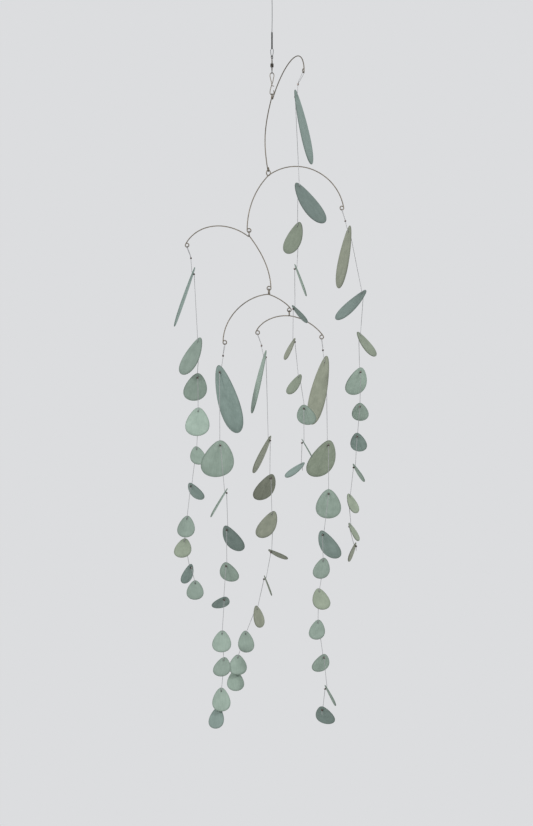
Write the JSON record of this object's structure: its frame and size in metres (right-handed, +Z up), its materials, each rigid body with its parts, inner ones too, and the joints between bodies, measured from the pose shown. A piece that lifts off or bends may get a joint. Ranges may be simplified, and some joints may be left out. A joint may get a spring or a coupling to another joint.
{
  "type": "hanging mobile sculpture",
  "caption": "Hanging mobile of flat matte green leaves threaded on thin wires, balanced under a cascade of bowed wire arms and turning on a barrel swivel.",
  "frame": {"origin": "top of the loop at the upper end of the hanging line, where a ceiling hook holds it", "axes": "+Z up along the hanging line, +X to the right and +Y away from a viewer who sees the mobile as in the picture"},
  "size_m": [0.2354, 0.1662, 0.8621],
  "materials": {
    "leaf_blue": "matte blue-green",
    "leaf_green": "matte eucalyptus green",
    "leaf_sage": "matte sage",
    "leaf_olive": "matte olive grey",
    "arm_wire": "drawn stainless wire, satin",
    "swivel_metal": "dark nickel, satin",
    "thread_wire": "nylon-coated beading wire with metal crimps"
  },
  "bodies": {
    "hanger": {"hanging_line": "thread_wire", "swivel_upper_eye": "swivel_metal", "swivel_barrel": "swivel_metal"},
    "mobile": {"swivel_lower_eye": "swivel_metal", "safety_snap": "arm_wire", "arm_1": "arm_wire", "arm_2": "arm_wire", "arm_3": "arm_wire", "arm_4": "arm_wire", "arm_5": "arm_wire", "thread_a": "thread_wire", "thread_b": "thread_wire", "thread_c": "thread_wire", "thread_d": "thread_wire", "thread_e": "thread_wire", "thread_f": "thread_wire", "leaf_a1_blue": "leaf_blue", "leaf_a2_blue": "leaf_blue", "leaf_a3_sage": "leaf_sage", "leaf_a4_green": "leaf_green", "leaf_a5_blue": "leaf_blue", "leaf_a6_olive": "leaf_olive", "leaf_a7_sage": "leaf_sage", "leaf_b1_olive": "leaf_olive", "leaf_b2_blue": "leaf_blue", "leaf_b3_sage": "leaf_sage", "leaf_b4_green": "leaf_green", "leaf_b5_green": "leaf_green", "leaf_b6_blue": "leaf_blue", "leaf_b7_green": "leaf_green", "leaf_c1_blue": "leaf_blue", "leaf_c2_green": "leaf_green", "leaf_c3_green": "leaf_green", "leaf_c4_green": "leaf_green", "leaf_c5_green": "leaf_green", "leaf_c6_blue": "leaf_blue", "leaf_c7_green": "leaf_green", "leaf_d1_blue": "leaf_blue", "leaf_d2_green": "leaf_green", "leaf_d3_green": "leaf_green", "leaf_d4_blue": "leaf_blue", "leaf_d5_green": "leaf_green", "leaf_d6_blue": "leaf_blue", "leaf_d7_green": "leaf_green", "leaf_e1_green": "leaf_green", "leaf_e2_olive": "leaf_olive", "leaf_e3_olive": "leaf_olive", "leaf_e4_olive": "leaf_olive", "leaf_e5_olive": "leaf_olive", "leaf_e6_sage": "leaf_sage", "leaf_e7_olive": "leaf_olive", "leaf_f1_olive": "leaf_olive", "leaf_f2_sage": "leaf_sage", "leaf_f3_green": "leaf_green", "leaf_f4_blue": "leaf_blue", "leaf_f5_green": "leaf_green", "leaf_f6_sage": "leaf_sage", "leaf_f7_green": "leaf_green"}
  },
  "joints": [
    {"name": "swivel_turn", "type": "hinge", "parent": "hanger", "child": "mobile", "pos_m": [0, 0, -0.103], "axis": [0, 0, 1], "continuous": true}
  ]
}
